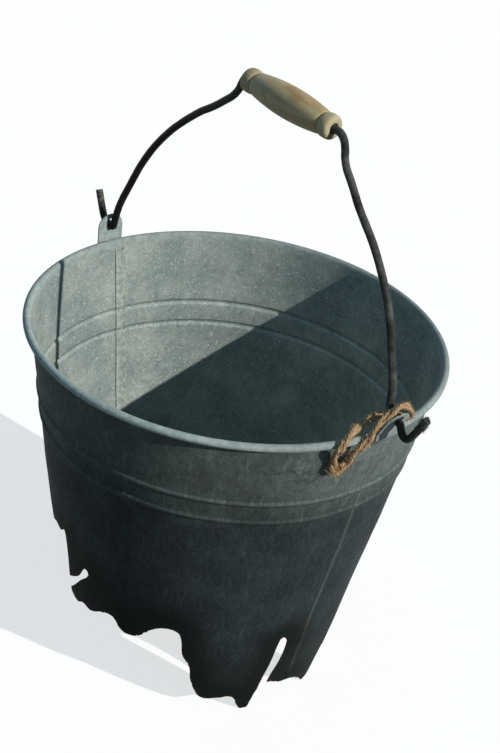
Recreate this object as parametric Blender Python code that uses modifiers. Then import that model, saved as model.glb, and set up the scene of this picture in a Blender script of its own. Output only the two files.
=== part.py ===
"""A weathered galvanised bucket: two seamed half walls, a wired rim, ears, a wire bail and a wooden grip.

The origin is on the bucket's axis at the ground, +Z is up, and +X points at the right ear, so the bail
turns about an axis along X. The lower wall is torn away, and its lowest teeth stand on the ground.
"""

import math

import bmesh
import bpy
from mathutils import Matrix, Vector
from mathutils.geometry import interpolate_bezier

MM = 0.001

# Sheet steel and clearances
SHEET = 0.7 * MM
SHEET_GAP = 0.3 * MM
RUNNING_GAP = 0.35 * MM

# Shell
RIM_HEIGHT = 269.5 * MM
RIM_RADIUS = 150.3 * MM
RIM_WIRE_RADIUS = 1.9 * MM
ROLL_END = math.radians(-140)
ROLL_STEPS = 10
WALL_LEAN = math.radians(9.9)
WALL_BELOW_GROUND = 4 * MM
BEAD_DROPS = (53.6 * MM, 70.4 * MM)
BEAD_HALF_WIDTH = 3.4 * MM
BEAD_RISE = 1.1 * MM
COLUMN_STEP = 5
TEAR_REACH = 30 * MM

# Side seams, folded into each other below the ears
SEAM_TURN = math.radians(-1.7)
SEAM_DROP = 26 * MM
SEAM_BLEND = 4 * MM
SEAM_FOLD = 4.0 * MM
SEAM_LAP = 3.0 * MM
SEAM_RAMP = 1.8 * MM
SEAM_HOOK_END = 0.8 * MM

# Ears
EAR_SHEET = 1.0 * MM
EAR_BOTTOM = 21 * MM
EAR_WING_DROP = 7.0 * MM
EAR_WING_HALF = 22 * MM
EAR_CORNER = 7 * MM
EAR_TAB_HALF = 11.2 * MM
EAR_TAB_TOP = 22.5 * MM
EAR_TAB_ROUND = 9 * MM
EAR_KNEE = 2.5 * MM
EAR_COLUMNS = 8
EAR_LEAN = {"right_ear": math.radians(25), "left_ear": math.radians(4)}
EAR_TURN = {"right_ear": 0.0, "left_ear": math.pi}

# Bail
BAIL_WIRE_RADIUS = 2.75 * MM
BAIL_TILT = math.radians(5)
PIVOT_RISE = 13.7 * MM
EYE_RADIUS = 4.2 * MM
EYE_APPROACH = 3.6 * MM
EYE_DIP = 0.5 * MM
BAIL_TOP_RISE = 160.2 * MM
BAIL_TOP_SLOPE = math.radians(1.1)

# Grip
GRIP_LENGTH = 87 * MM
GRIP_SHIFT = 2.5 * MM
GRIP_BELLY_RADIUS = 11.3 * MM
GRIP_NECK_RADIUS = 8.0 * MM
GRIP_COLLAR_RADIUS = 8.8 * MM
GRIP_COLLAR_WIDTH = 9.5 * MM
GRIP_BORE_GAP = 0.6 * MM
GRIP_EDGE = 1.6 * MM
GRIP_KERF = 2.4 * MM
GRIP_KERF_TURN = math.radians(-23)

# Twine
TWINE_RADIUS = 2.6 * MM

PIVOT_HEIGHT = RIM_HEIGHT + PIVOT_RISE
ROLL_RADIUS = RIM_WIRE_RADIUS + SHEET_GAP + SHEET / 2
RIM_OUTER = RIM_RADIUS + ROLL_RADIUS + SHEET / 2
LAYER = SHEET + SHEET_GAP

# The torn edge, as (azimuth in degrees, height in mm). A height of zero is a tooth that stands on the ground.
TORN_EDGE = (
    (-168, 0), (-162, 0), (-158, 7), (-152, 26), (-146, 56), (-137, 84), (-125, 99), (-112.6, 113.8),
    (-106, 115), (-102.3, 120), (-101.6, 92), (-101.2, 66.5), (-97.1, 61.1), (-92, 65.5), (-87.4, 64.4),
    (-79.6, 73.3), (-75.3, 73.8), (-72.6, 66.8), (-69.4, 64.1), (-64.8, 67.1), (-59.8, 77.3),
    (-55.1, 83.4), (-50.3, 83.6), (-48.2, 76.3), (-47.1, 60.6), (-43.8, 47.7), (-42.7, 34.7),
    (-39.4, 19.7), (-36.2, 14.6), (-30, 14.8), (-24.1, 14.9), (-20.8, 4.5), (-18.6, 0), (-15.9, 0),
    (-14.9, 6.5), (-13.2, 19.2), (-9.5, 25), (-2.3, 19.9), (5.3, 16.8), (12, 9), (17.5, 0), (22, 0),
    (25, 12), (27.4, 24.6), (34, 20), (41, 31), (49, 17), (57, 9), (60, 0), (66, 0), (70, 14), (80, 22),
    (91, 12), (99, 0), (106, 0), (112, 17), (124, 27), (134, 15), (140, 0), (147, 0), (153, 12),
    (165, 19), (178, 11), (186, 8),
)
# Outlines in mm, along the wall and up from the ground
NOTCH = ((-24, 74), (-11.5, 79.6), (2.7, 90), (15, 103.5), (5.2, 87.9), (-13.8, 66.9), (-24, 62))
SLIT = (
    (-6.2, -6), (-6.0, 19.2), (-2.5, 46.5), (-0.2, 72.1), (2.6, 74), (6.6, 68), (5.6, 48.9), (1.0, 27.1),
    (0.6, -6),
)
NOTCH_AZIMUTH = math.radians(-95)
SLIT_AZIMUTH = math.radians(-10)

# Each leg of the bail, as (out from the rim's outside, up from the pivot) in mm
LEG = ((-2.8, 6.5), (-5.3, 20), (-12.9, 40), (-21.3, 60), (-33, 80), (-49.2, 100), (-70.7, 120))
# Each shoulder as (out from the grip's end, up from the bail's top) in mm, up to the straight top's end
RIGHT_SHOULDER = (
    (26.6, -29.2), (18.6, -21), (15.2, -15.2), (13.4, -9.6), (11, -4.8), (7.6, -1.8), (4.5, -0.9),
)
LEFT_SHOULDER = (
    (27.2, -29.7), (16.8, -20.9), (11.2, -15.8), (7.1, -10), (5.3, -4.6), (3.6, -0.7), (0.6, 0.8),
)
# Each hook as (out from its eye, up from the pivot) in mm
RIGHT_HOOK = ((3.2, -0.5), (6.0, -4.0), (9.0, -6.6), (12.6, -5.4), (16.0, 0), (19.6, 6.6), (23.0, 13.2))
LEFT_HOOK = ((3.2, -0.4), (6.0, -2.0), (8.6, -0.8), (11.2, 4.2), (14.0, 9.8), (16.8, 15.4), (19.6, 21.0))

# The twine's route beside the right ear, as (x, y, above the rim's centre) in mm
TWINE_ROUTE = (
    (144.4, -37.0, -17.0), (144.8, -38.0, -12.5), (146.8, -39.6, -7.0), (150.6, -41.0, -1.6),
    (151.2, -39.4, 2.8), (149.2, -34.6, 5.3), (147.5, -29.6, 6.4), (145.4, -23.0, 7.2), (142.6, -13.0, 7.2),
    (140.7, -4.4, 7.4), (140.6, 3.5, 7.8), (142.4, 9.4, 7.8), (146.6, 13.4, 7.6), (151.2, 14.6, 7.6),
    (154.8, 15.0, 8.8), (156.8, 14.8, 12.0), (157.8, 13.4, 16.4), (158.4, 10.2, 20.8), (158.6, 5.0, 24.0),
    (158.4, -1.0, 24.2), (157.8, -6.4, 20.8), (156.3, -11.7, 16.0), (155.4, -15.0, 10.8), (154.8, -17.0, 6.6),
    (155.2, -19.8, 3.0), (154.0, -23.6, -2.0), (151.0, -25.2, -7.0), (148.4, -25.8, -12.0),
    (146.8, -27.0, -17.2), (145.6, -30.2, -20.8),
)


def clear_scene():
    for obj in list(bpy.data.objects):
        bpy.data.objects.remove(obj)
    for old in list(bpy.data.collections):
        bpy.data.collections.remove(old)


def make_collection(name):
    collection = bpy.data.collections.new(name)
    bpy.context.scene.collection.children.link(collection)
    return collection


def make_material(name, colour, roughness, metallic):
    material = bpy.data.materials.new(name)
    material.use_nodes = True
    shader = material.node_tree.nodes["Principled BSDF"]
    shader.inputs["Base Color"].default_value = (*colour, 1.0)
    shader.inputs["Roughness"].default_value = roughness
    shader.inputs["Metallic"].default_value = metallic
    material.diffuse_color = (*colour, 1.0)
    return material


def add_object(name, data, collection, material=None):
    obj = bpy.data.objects.new(name, data)
    collection.objects.link(obj)
    if material is not None:
        data.materials.append(material)
    return obj


def hide_cutter(obj):
    obj.hide_render = True
    obj.display_type = "WIRE"


def add_boolean(obj, cutter, name):
    modifier = obj.modifiers.new(name, "BOOLEAN")
    modifier.operation = "DIFFERENCE"
    modifier.solver = "EXACT"
    modifier.object = cutter


def add_solidify(obj, thickness):
    modifier = obj.modifiers.new("thickness", "SOLIDIFY")
    modifier.thickness = thickness
    modifier.offset = 0
    modifier.use_even_offset = True


def shade_round(mesh):
    mesh.shade_smooth()
    mesh.set_sharp_from_angle(angle=math.radians(35))


def wall_radius(height):
    """The mid surface's radius of the straight wall, which runs up to the inner side of the roll."""
    touch_radius = RIM_RADIUS - ROLL_RADIUS * math.cos(WALL_LEAN)
    touch_height = RIM_HEIGHT + ROLL_RADIUS * math.sin(WALL_LEAN)
    return touch_radius + math.tan(WALL_LEAN) * (height - touch_height)


def roll_points():
    """The rolled edge round the rim wire, from its free end under the wire to where the wall meets it."""
    touch = math.pi - WALL_LEAN
    for step in range(ROLL_STEPS + 1):
        angle = ROLL_END + (touch - ROLL_END) * step / ROLL_STEPS
        yield (
            RIM_RADIUS + ROLL_RADIUS * math.cos(angle),
            RIM_HEIGHT + ROLL_RADIUS * math.sin(angle),
        )


def bead_points(drop):
    """A bead pressed outward in the wall, as half a wave."""
    for step in (-1, -0.5, 0, 0.5, 1):
        height = RIM_HEIGHT - drop - step * BEAD_HALF_WIDTH
        rise = BEAD_RISE * (0.5 + 0.5 * math.cos(math.pi * step))
        yield wall_radius(height) + rise, height


def wall_profile():
    """(radius, height) of the wall's mid surface, from the roll's free end down to below the ground.

    The row after the roll's and the one that follows it bound the blend into the seams.
    """
    profile = list(roll_points())
    seam_top = RIM_HEIGHT - SEAM_DROP
    profile += [(wall_radius(height), height) for height in (seam_top + SEAM_BLEND, seam_top)]
    for drop in BEAD_DROPS:
        profile += list(bead_points(drop))
    profile.append((wall_radius(-WALL_BELOW_GROUND), -WALL_BELOW_GROUND))
    return profile


def base_edge():
    """The outer sheet's fold at a seam, as (along, inward): a hook that opens away from the wall."""
    points = [(0, 0), (-SEAM_FOLD, 0)]
    for step in (1, 2, 3, 4):
        angle = math.pi * step / 4
        points.append((-SEAM_FOLD - LAYER * math.sin(angle), LAYER * (1 - math.cos(angle))))
    points.append((SEAM_LAP - SEAM_HOOK_END, 2 * LAYER))
    return points


def lap_edge():
    """The inner sheet's fold, as (along, inward): over a step, along, and back into the hook."""
    ramp_foot = -SEAM_FOLD - LAYER - 2 * SEAM_RAMP
    points = [(ramp_foot, 0), (ramp_foot + SEAM_RAMP, 3 * LAYER), (-SEAM_FOLD - SHEET_GAP, 3 * LAYER)]
    for step in range(5):
        angle = math.pi * step / 4
        points.append((SEAM_LAP + LAYER * math.sin(angle), LAYER * (2 + math.cos(angle))))
    points.append((SEAM_HOOK_END - SEAM_FOLD, LAYER))
    return points


def half_wall(name, turn, collection, material):
    """One half of the shell, turned about Z, from its base edge to its lap edge half a turn on."""
    profile = wall_profile()
    seam_row = ROLL_STEPS + 2
    base = base_edge()
    lap = lap_edge()
    columns = [(0, along, inward, index > 1) for index, (along, inward) in enumerate(base)][::-1]
    columns += [(math.radians(angle), 0, 0, False) for angle in range(COLUMN_STEP, 175, COLUMN_STEP)]
    columns += [(math.pi, along, inward, index > 2) for index, (along, inward) in enumerate(lap)]
    mesh = bpy.data.meshes.new(name)
    bm = bmesh.new()
    grid = []
    for row, (radius, height) in enumerate(profile):
        line = []
        for azimuth, along, inward, folded in columns:
            if folded and row < seam_row:
                line.append(None)
                continue
            angle = turn + azimuth + along / radius
            reach = radius - inward if row >= seam_row else radius
            line.append(bm.verts.new((reach * math.cos(angle), reach * math.sin(angle), height)))
        grid.append(line)
    for upper, lower in zip(grid, grid[1:]):
        for left in range(len(columns) - 1):
            corners = (lower[left], lower[left + 1], upper[left + 1], upper[left])
            if None not in corners:
                bm.faces.new(corners)
    bmesh.ops.recalc_face_normals(bm, faces=bm.faces)
    bm.to_mesh(mesh)
    bm.free()
    shade_round(mesh)
    wall = add_object(name, mesh, collection, material)
    add_solidify(wall, SHEET)
    return wall


def tear_cutter(collection):
    """What is torn away below the ragged edge, as a ring whose top follows that edge."""
    inner = wall_radius(0) - TEAR_REACH
    outer = RIM_OUTER + TEAR_REACH
    floor = -4 * WALL_BELOW_GROUND
    mesh = bpy.data.meshes.new("torn_away")
    bm = bmesh.new()
    rings = []
    for degrees, height in TORN_EDGE:
        azimuth = math.radians(degrees)
        ring = []
        for radius, z in ((inner, height * MM), (outer, height * MM), (outer, floor), (inner, floor)):
            ring.append(bm.verts.new((radius * math.cos(azimuth), radius * math.sin(azimuth), z)))
        rings.append(ring)
    for ring, following in zip(rings, rings[1:] + rings[:1]):
        for corner in range(4):
            other = (corner + 1) % 4
            bm.faces.new((ring[corner], ring[other], following[other], following[corner]))
    bmesh.ops.triangulate(bm, faces=bm.faces)
    bmesh.ops.recalc_face_normals(bm, faces=bm.faces)
    bm.to_mesh(mesh)
    bm.free()
    cutter = add_object("torn_away", mesh, collection)
    hide_cutter(cutter)
    return cutter


def mesh_from_curve(obj, collection):
    """The curve as a mesh object in the same place, with its caps welded on."""
    graph = bpy.context.evaluated_depsgraph_get()
    mesh = bpy.data.meshes.new_from_object(obj.evaluated_get(graph))
    bm = bmesh.new()
    bm.from_mesh(mesh)
    bmesh.ops.remove_doubles(bm, verts=bm.verts, dist=0.00001)
    bmesh.ops.recalc_face_normals(bm, faces=bm.faces)
    bm.to_mesh(mesh)
    bm.free()
    name = obj.name
    place = obj.matrix_world.copy()
    bpy.data.objects.remove(obj)
    solid = add_object(name, mesh, collection)
    solid.matrix_world = place
    return solid


def outline_cutter(name, azimuth, outline, collection):
    """A flat outline in the wall's tangent plane at an azimuth, thick enough to cut through the wall."""
    curve = bpy.data.curves.new(name, "CURVE")
    curve.dimensions = "2D"
    curve.fill_mode = "BOTH"
    curve.extrude = TEAR_REACH
    spline = curve.splines.new("POLY")
    spline.points.add(len(outline) - 1)
    for point, (along, up) in zip(spline.points, outline):
        point.co = (along * MM, up * MM, 0, 1)
    spline.use_cyclic_u = True
    obj = add_object(name, curve, collection)
    reach = wall_radius(RIM_HEIGHT / 4)
    stand = Matrix(((0, 0, 1, reach), (1, 0, 0, 0), (0, 1, 0, 0), (0, 0, 0, 1)))
    obj.matrix_world = Matrix.Rotation(azimuth, 4, "Z") @ stand
    bpy.context.view_layer.update()
    cutter = mesh_from_curve(obj, collection)
    hide_cutter(cutter)
    return cutter


def wire_object(name, points, radius, collection, material, closed=False):
    """A round wire along a line of points."""
    curve = bpy.data.curves.new(name, "CURVE")
    curve.dimensions = "3D"
    curve.bevel_depth = radius
    curve.bevel_resolution = 2
    curve.use_fill_caps = not closed
    spline = curve.splines.new("POLY")
    spline.points.add(len(points) - 1)
    for point, place in zip(spline.points, points):
        point.co = (*place, 1)
    spline.use_cyclic_u = closed
    spline.use_smooth = True
    return add_object(name, curve, collection, material)


def smooth_line(route, steps):
    """Points on a smooth curve through the route's own points."""
    places = [Vector(point) for point in route]
    before = [2 * places[0] - places[1]] + places
    after = places[1:] + [2 * places[-1] - places[-2]]
    pulls = [(a - b) / 6 for a, b in zip(after, before)]
    line = []
    for index in range(len(places) - 1):
        start, end = places[index], places[index + 1]
        part = interpolate_bezier(start, start + pulls[index], end - pulls[index + 1], end, steps + 1)
        line += part[:-1]
    return line + [places[-1]]


def rim_wire(collection, material):
    step = math.radians(COLUMN_STEP)
    places = []
    for index in range(360 // COLUMN_STEP):
        angle = SEAM_TURN + index * step
        places.append((RIM_RADIUS * math.cos(angle), RIM_RADIUS * math.sin(angle), RIM_HEIGHT))
    return wire_object("rim_wire", places, RIM_WIRE_RADIUS, collection, material, closed=True)


def tab_place(name, height):
    """(radius, height) on an ear's leaning tab, from a height on the tab as it stood upright."""
    outside = RIM_OUTER + SHEET_GAP + EAR_SHEET / 2
    foot = RIM_HEIGHT + EAR_KNEE
    run = height - foot
    return outside + run * math.sin(EAR_LEAN[name]), foot + run * math.cos(EAR_LEAN[name])


def ear_rows(name):
    """(radius, height, half width) of an ear's mid surface, from its lower edge to its tip."""
    seat = (SHEET + EAR_SHEET) / 2 + SHEET_GAP
    rows = []
    for turn in (0, 30, 60, 90):
        angle = math.radians(turn)
        height = RIM_HEIGHT - EAR_BOTTOM + EAR_CORNER * (1 - math.cos(angle))
        half = EAR_WING_HALF - EAR_CORNER * (1 - math.sin(angle))
        rows.append((wall_radius(height) + seat, height, half))
    wing_top = RIM_HEIGHT - ROLL_RADIUS - EAR_WING_DROP
    rows.append((wall_radius(wing_top - EAR_SHEET) + seat, wing_top - EAR_SHEET, EAR_WING_HALF - EAR_SHEET))
    rows.append((wall_radius(wing_top) + seat, wing_top, EAR_TAB_HALF + EAR_SHEET))
    outside, foot = tab_place(name, RIM_HEIGHT + EAR_KNEE)
    rows.append((outside, RIM_HEIGHT - EAR_KNEE / 2, EAR_TAB_HALF))
    rows.append((outside, foot, EAR_TAB_HALF))
    for turn in (0, 25, 45, 62, 76, 84):
        angle = math.radians(turn)
        height = RIM_HEIGHT + EAR_TAB_TOP - EAR_TAB_ROUND * (1 - math.sin(angle))
        rows.append((*tab_place(name, height), EAR_TAB_HALF * math.cos(angle)))
    return rows


def ear_reach(name):
    """How far out the ear's mid surface lies at the pivot's height."""
    outside, foot = tab_place(name, RIM_HEIGHT + EAR_KNEE)
    return outside + math.tan(EAR_LEAN[name]) * (PIVOT_HEIGHT - foot)


def eye_cutter(collection):
    """One long pin along X that bores both ears' eyes. The bail's wire lies low in them."""
    lift = EYE_RADIUS - BAIL_WIRE_RADIUS - RUNNING_GAP
    mesh = bpy.data.meshes.new("eye_bore")
    bm = bmesh.new()
    bmesh.ops.create_cone(
        bm, cap_ends=True, segments=20, radius1=EYE_RADIUS, radius2=EYE_RADIUS, depth=2.6 * RIM_RADIUS
    )
    bm.to_mesh(mesh)
    bm.free()
    cutter = add_object("eye_bore", mesh, collection)
    place = Matrix.Translation((0, 0, PIVOT_HEIGHT + lift))
    cutter.matrix_world = place @ Matrix.Rotation(math.pi / 2, 4, "Y")
    hide_cutter(cutter)
    return cutter


def ear(name, bore, collection, material):
    """A stamped plate on the wall's outer face, with wings below the rim and a tab that rises past it."""
    mesh = bpy.data.meshes.new(name)
    bm = bmesh.new()
    grid = []
    for radius, height, half in ear_rows(name):
        line = []
        for column in range(EAR_COLUMNS + 1):
            along = half * (2 * column / EAR_COLUMNS - 1)
            angle = EAR_TURN[name] + along / radius
            line.append(bm.verts.new((radius * math.cos(angle), radius * math.sin(angle), height)))
        grid.append(line)
    for lower, upper in zip(grid, grid[1:]):
        for left in range(EAR_COLUMNS):
            bm.faces.new((lower[left], lower[left + 1], upper[left + 1], upper[left]))
    bmesh.ops.recalc_face_normals(bm, faces=bm.faces)
    bm.to_mesh(mesh)
    bm.free()
    shade_round(mesh)
    plate = add_object(name, mesh, collection, material)
    add_solidify(plate, EAR_SHEET)
    add_boolean(plate, bore, "eye")
    return plate


def side_places(name, side, hook, shoulder):
    """One side of the bail in its own plane, from the end of its straight top out to the tip of its hook."""
    grip_end = GRIP_LENGTH / 2 + side * GRIP_SHIFT
    reach = ear_reach(name)
    places = [(grip_end + x * MM, BAIL_TOP_RISE + z * MM) for x, z in reversed(shoulder)]
    places += [(RIM_OUTER + x * MM, z * MM) for x, z in reversed(LEG)]
    places += [(reach - EYE_APPROACH, EYE_DIP), (reach, 0)]
    places += [(reach + x * MM, z * MM) for x, z in hook]
    return [(side * x, 0, z) for x, z in places]


def bail_places():
    """The bail's centre line in its own plane, from the left hook's tip to the right one's."""
    left = side_places("left_ear", -1, LEFT_HOOK, LEFT_SHOULDER)
    right = side_places("right_ear", 1, RIGHT_HOOK, RIGHT_SHOULDER)
    return list(reversed(left)) + right


def bail(pivot, collection, material):
    wire = wire_object("bail_wire", smooth_line(bail_places(), 2), BAIL_WIRE_RADIUS, collection, material)
    wire.parent = pivot
    return wire


def grip_profile():
    """(along, radius) of the turned grip from one end face to the other."""
    half = GRIP_LENGTH / 2
    bore = BAIL_WIRE_RADIUS + GRIP_BORE_GAP
    edge = GRIP_EDGE
    inner = half - GRIP_COLLAR_WIDTH
    side = [
        (half, bore),
        (half, GRIP_COLLAR_RADIUS - 2 * edge),
        (half - edge, GRIP_COLLAR_RADIUS - edge / 2),
        (half - 2.4 * edge, GRIP_COLLAR_RADIUS),
        (inner + 1.6 * edge, GRIP_COLLAR_RADIUS - edge / 4),
        (inner, GRIP_NECK_RADIUS),
    ]
    belly = []
    for step in range(1, 8):
        share = step / 8
        bulge = math.sin(math.pi * share) ** 0.8
        radius = GRIP_NECK_RADIUS + (GRIP_BELLY_RADIUS - GRIP_NECK_RADIUS) * bulge
        belly.append((inner - 2 * inner * share, radius))
    return side + belly + [(-along, radius) for along, radius in reversed(side)]


def kerf_cutter(grip, collection):
    """The saw cut that lets the grip be pushed onto the wire."""
    mesh = bpy.data.meshes.new("grip_kerf")
    bm = bmesh.new()
    bmesh.ops.create_cube(bm, size=1)
    deep = 2 * GRIP_BELLY_RADIUS
    bmesh.ops.scale(bm, verts=bm.verts, vec=(1.2 * GRIP_LENGTH, GRIP_KERF, deep))
    bmesh.ops.translate(bm, verts=bm.verts, vec=(0, 0, -deep / 2))
    bmesh.ops.rotate(bm, verts=bm.verts, matrix=Matrix.Rotation(GRIP_KERF_TURN, 3, "X"))
    bm.to_mesh(mesh)
    bm.free()
    cutter = add_object("grip_kerf", mesh, collection)
    cutter.parent = grip
    hide_cutter(cutter)
    return cutter


def grip(pivot, collection, cutters, material):
    """The wooden grip, turned about X round the bail's straight top."""
    profile = grip_profile()
    mesh = bpy.data.meshes.new("wood_grip")
    bm = bmesh.new()
    verts = [bm.verts.new((along, 0, radius)) for along, radius in profile]
    for first, second in zip(verts, verts[1:] + verts[:1]):
        bm.edges.new((first, second))
    bm.to_mesh(mesh)
    bm.free()
    handle = add_object("wood_grip", mesh, collection, material)
    handle.parent = pivot
    handle.location = (GRIP_SHIFT, 0, BAIL_TOP_RISE)
    handle.rotation_euler = (0, BAIL_TOP_SLOPE, 0)
    screw = handle.modifiers.new("turned", "SCREW")
    screw.axis = "X"
    screw.steps = 28
    screw.render_steps = 28
    screw.use_merge_vertices = True
    screw.merge_threshold = 0.00001
    screw.use_smooth_shade = True
    add_boolean(handle, kerf_cutter(handle, cutters), "kerf")
    return handle


def twine(collection, material):
    route = [(x * MM, y * MM, RIM_HEIGHT + z * MM) for x, y, z in TWINE_ROUTE]
    return wire_object("twine_loop", smooth_line(route, 2), TWINE_RADIUS, collection, material)


def main():
    clear_scene()
    bucket = make_collection("weathered_bucket")
    cutters = make_collection("cutters")
    zinc = make_material("weathered_zinc", (0.30, 0.33, 0.33), 0.55, 0.75)
    black_wire = make_material("darkened_wire", (0.05, 0.048, 0.045), 0.5, 0.8)
    wood = make_material("grey_wood", (0.38, 0.33, 0.23), 0.75, 0.0)
    jute = make_material("jute_twine", (0.50, 0.31, 0.16), 0.9, 0.0)

    torn = tear_cutter(cutters)
    notch = outline_cutter("torn_notch", NOTCH_AZIMUTH, NOTCH, cutters)
    slit = outline_cutter("torn_slit", SLIT_AZIMUTH, SLIT, cutters)
    back = half_wall("back_wall", SEAM_TURN, bucket, zinc)
    front = half_wall("front_wall", SEAM_TURN + math.pi, bucket, zinc)
    for wall in (back, front):
        add_boolean(wall, torn, "torn edge")
    add_boolean(front, notch, "notch")
    add_boolean(front, slit, "slit")
    rim_wire(bucket, zinc)

    bore = eye_cutter(cutters)
    for name in EAR_TURN:
        ear(name, bore, bucket, zinc)

    pivot = bpy.data.objects.new("bail_pivot", None)
    bucket.objects.link(pivot)
    pivot.location = (0, 0, PIVOT_HEIGHT)
    pivot.rotation_euler = (-BAIL_TILT, 0, 0)
    bail(pivot, bucket, black_wire)
    grip(pivot, bucket, cutters, wood)
    twine(bucket, jute)


main()
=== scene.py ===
# %% [markdown]
# # A weathered galvanised bucket
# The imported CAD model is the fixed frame: every piece made here rides on one of its bodies, in metres, in
# the same place. The bucket body holds the two seamed walls, the rim wire, the ears and the twine. The
# bail swings in the ears, and the wooden grip turns on the bail.

import math

import bmesh
import bpy
import numpy as np
from mathutils import Matrix, Vector, noise
from mathutils.geometry import interpolate_bezier


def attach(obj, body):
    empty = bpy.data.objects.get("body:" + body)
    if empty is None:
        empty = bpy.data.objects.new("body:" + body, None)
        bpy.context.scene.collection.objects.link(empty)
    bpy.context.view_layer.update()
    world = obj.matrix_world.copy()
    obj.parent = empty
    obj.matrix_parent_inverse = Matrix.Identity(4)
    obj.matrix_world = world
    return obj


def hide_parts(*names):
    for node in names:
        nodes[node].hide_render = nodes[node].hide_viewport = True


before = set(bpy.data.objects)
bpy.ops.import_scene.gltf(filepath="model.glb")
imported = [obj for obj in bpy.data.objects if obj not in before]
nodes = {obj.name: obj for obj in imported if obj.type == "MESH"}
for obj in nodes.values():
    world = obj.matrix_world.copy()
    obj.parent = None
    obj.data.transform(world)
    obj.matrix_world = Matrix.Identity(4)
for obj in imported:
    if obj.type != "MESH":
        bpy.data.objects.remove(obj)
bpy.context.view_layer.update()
MM = 0.001
print("CAD nodes:", sorted(nodes))

# %% [markdown]
# ## Sizes
# The walls are drawn again here with more faces than the CAD solids hold. They use the same sizes: a
# rolled rim, a straight wall that leans outward, and two pressed beads below the rim. Only the sheet is
# drawn thinner, which keeps the folded seams flat, and the folds run up to just below the rim.

# %% Sizes
SHEET = 0.32 * MM
SHEET_GAP = 0.04 * MM
RIM_HEIGHT = 269.5 * MM
RIM_RADIUS = 150.3 * MM
ROLL_RADIUS = 2.6 * MM
ROLL_END = math.radians(-140)
WALL_LEAN = math.radians(9.9)
BEAD_DROPS = (53.6 * MM, 70.4 * MM)
BEAD_HALF_WIDTH = 2.8 * MM
BEAD_RISE = 1.4 * MM
SEAM_TURNS = (math.radians(2.7), math.radians(178.3))
SEAM_DROP = 5 * MM
SEAM_BLEND = 2.5 * MM
SEAM_FOLD = 4 * MM
SEAM_LAP = 3 * MM
SEAM_RAMPS = {"back_wall": 2.6 * MM, "front_wall": 0.3 * MM}
SEAM_HOOK_END = 0.8 * MM
LAYER = SHEET + SHEET_GAP
PIVOT_HEIGHT = RIM_HEIGHT + 13.7 * MM
BAIL_TILT = math.radians(5)

# %% [markdown]
# ## Camera
# A camera seen from above and to the right, rolled a little, with a long lens. Its place was solved from
# the outlines of the rim, the beads and the wall.

# %% Camera
IMAGE_HEIGHT = 753
FOCAL_PIXELS = 1715.25
EYE = Vector((0.7618, -0.7539, 0.8654))
LOOK_AT = Vector((0.00957, 0.00967, 0.2334))
ROLL = math.radians(9.02)

camera_data = bpy.data.cameras.new("camera")
camera_data.sensor_fit = "AUTO"
camera_data.lens = FOCAL_PIXELS / IMAGE_HEIGHT * camera_data.sensor_width
camera = bpy.data.objects.new("camera", camera_data)
bpy.context.scene.collection.objects.link(camera)
ahead = (LOOK_AT - EYE).normalized()
level_right = ahead.cross(Vector((0, 0, 1))).normalized()
level_up = level_right.cross(ahead)
right = math.cos(ROLL) * level_right + math.sin(ROLL) * level_up
up = -math.sin(ROLL) * level_right + math.cos(ROLL) * level_up
camera.matrix_world = Matrix.Translation(EYE) @ Matrix((right, up, -ahead)).transposed().to_4x4()
bpy.context.scene.camera = camera
print("camera lens", round(camera_data.lens, 1), "mm")

# %% [markdown]
# ## Small helpers
# A new mesh becomes an object in the scene, already with its material. A live modifier or a curve is
# turned into a plain mesh, so that what rides on the frame is only its faces.

# %% Helpers
def add_object(name, data, material=None):
    obj = bpy.data.objects.new(name, data)
    bpy.context.scene.collection.objects.link(obj)
    if material is not None:
        data.materials.append(material)
    return obj


def built(name, bm, material=None, outward=True):
    """The bmesh as a new object, with its normals outward if asked. The bmesh is freed."""
    if outward:
        bmesh.ops.recalc_face_normals(bm, faces=bm.faces)
    mesh = bpy.data.meshes.new(name)
    bm.to_mesh(mesh)
    bm.free()
    return add_object(name, mesh, material)


def plain_mesh(obj, name, material):
    """The evaluated object as a new plain mesh object. The old one is removed."""
    bpy.context.view_layer.update()
    graph = bpy.context.evaluated_depsgraph_get()
    mesh = bpy.data.meshes.new_from_object(obj.evaluated_get(graph))
    mesh.transform(obj.matrix_world)
    bpy.data.objects.remove(obj)
    mesh.name = name
    mesh.materials.clear()
    return add_object(name, mesh, material)


def smooth_by_angle(mesh, degrees):
    mesh.shade_smooth()
    mesh.set_sharp_from_angle(angle=math.radians(degrees))


def count(obj):
    obj.data.calc_loop_triangles()
    print(obj.name, len(obj.data.loop_triangles), "triangles")


def smooth_line(places, steps):
    """Points on a smooth curve through the places, with handles as long as each step allows."""
    places = [Vector(place) for place in places]
    before = [2 * places[0] - places[1]] + places
    after = places[1:] + [2 * places[-1] - places[-2]]
    ways = [(a - b).normalized() for a, b in zip(after, before)]
    line = []
    for index in range(len(places) - 1):
        start, end = places[index], places[index + 1]
        pull = (end - start).length / 3
        first, second = start + ways[index] * pull, end - ways[index + 1] * pull
        line += interpolate_bezier(start, first, second, end, steps + 1)[:-1]
    return line + [places[-1]]


# %% [markdown]
# ## Drawing with shader nodes
# Every finish below is a few layers of noise over a base tone, read in Object coordinates, so that it
# keeps its scale in metres and stays with the piece. This small board adds nodes and links them, also in
# the Geometry Nodes trees of the twine.

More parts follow.
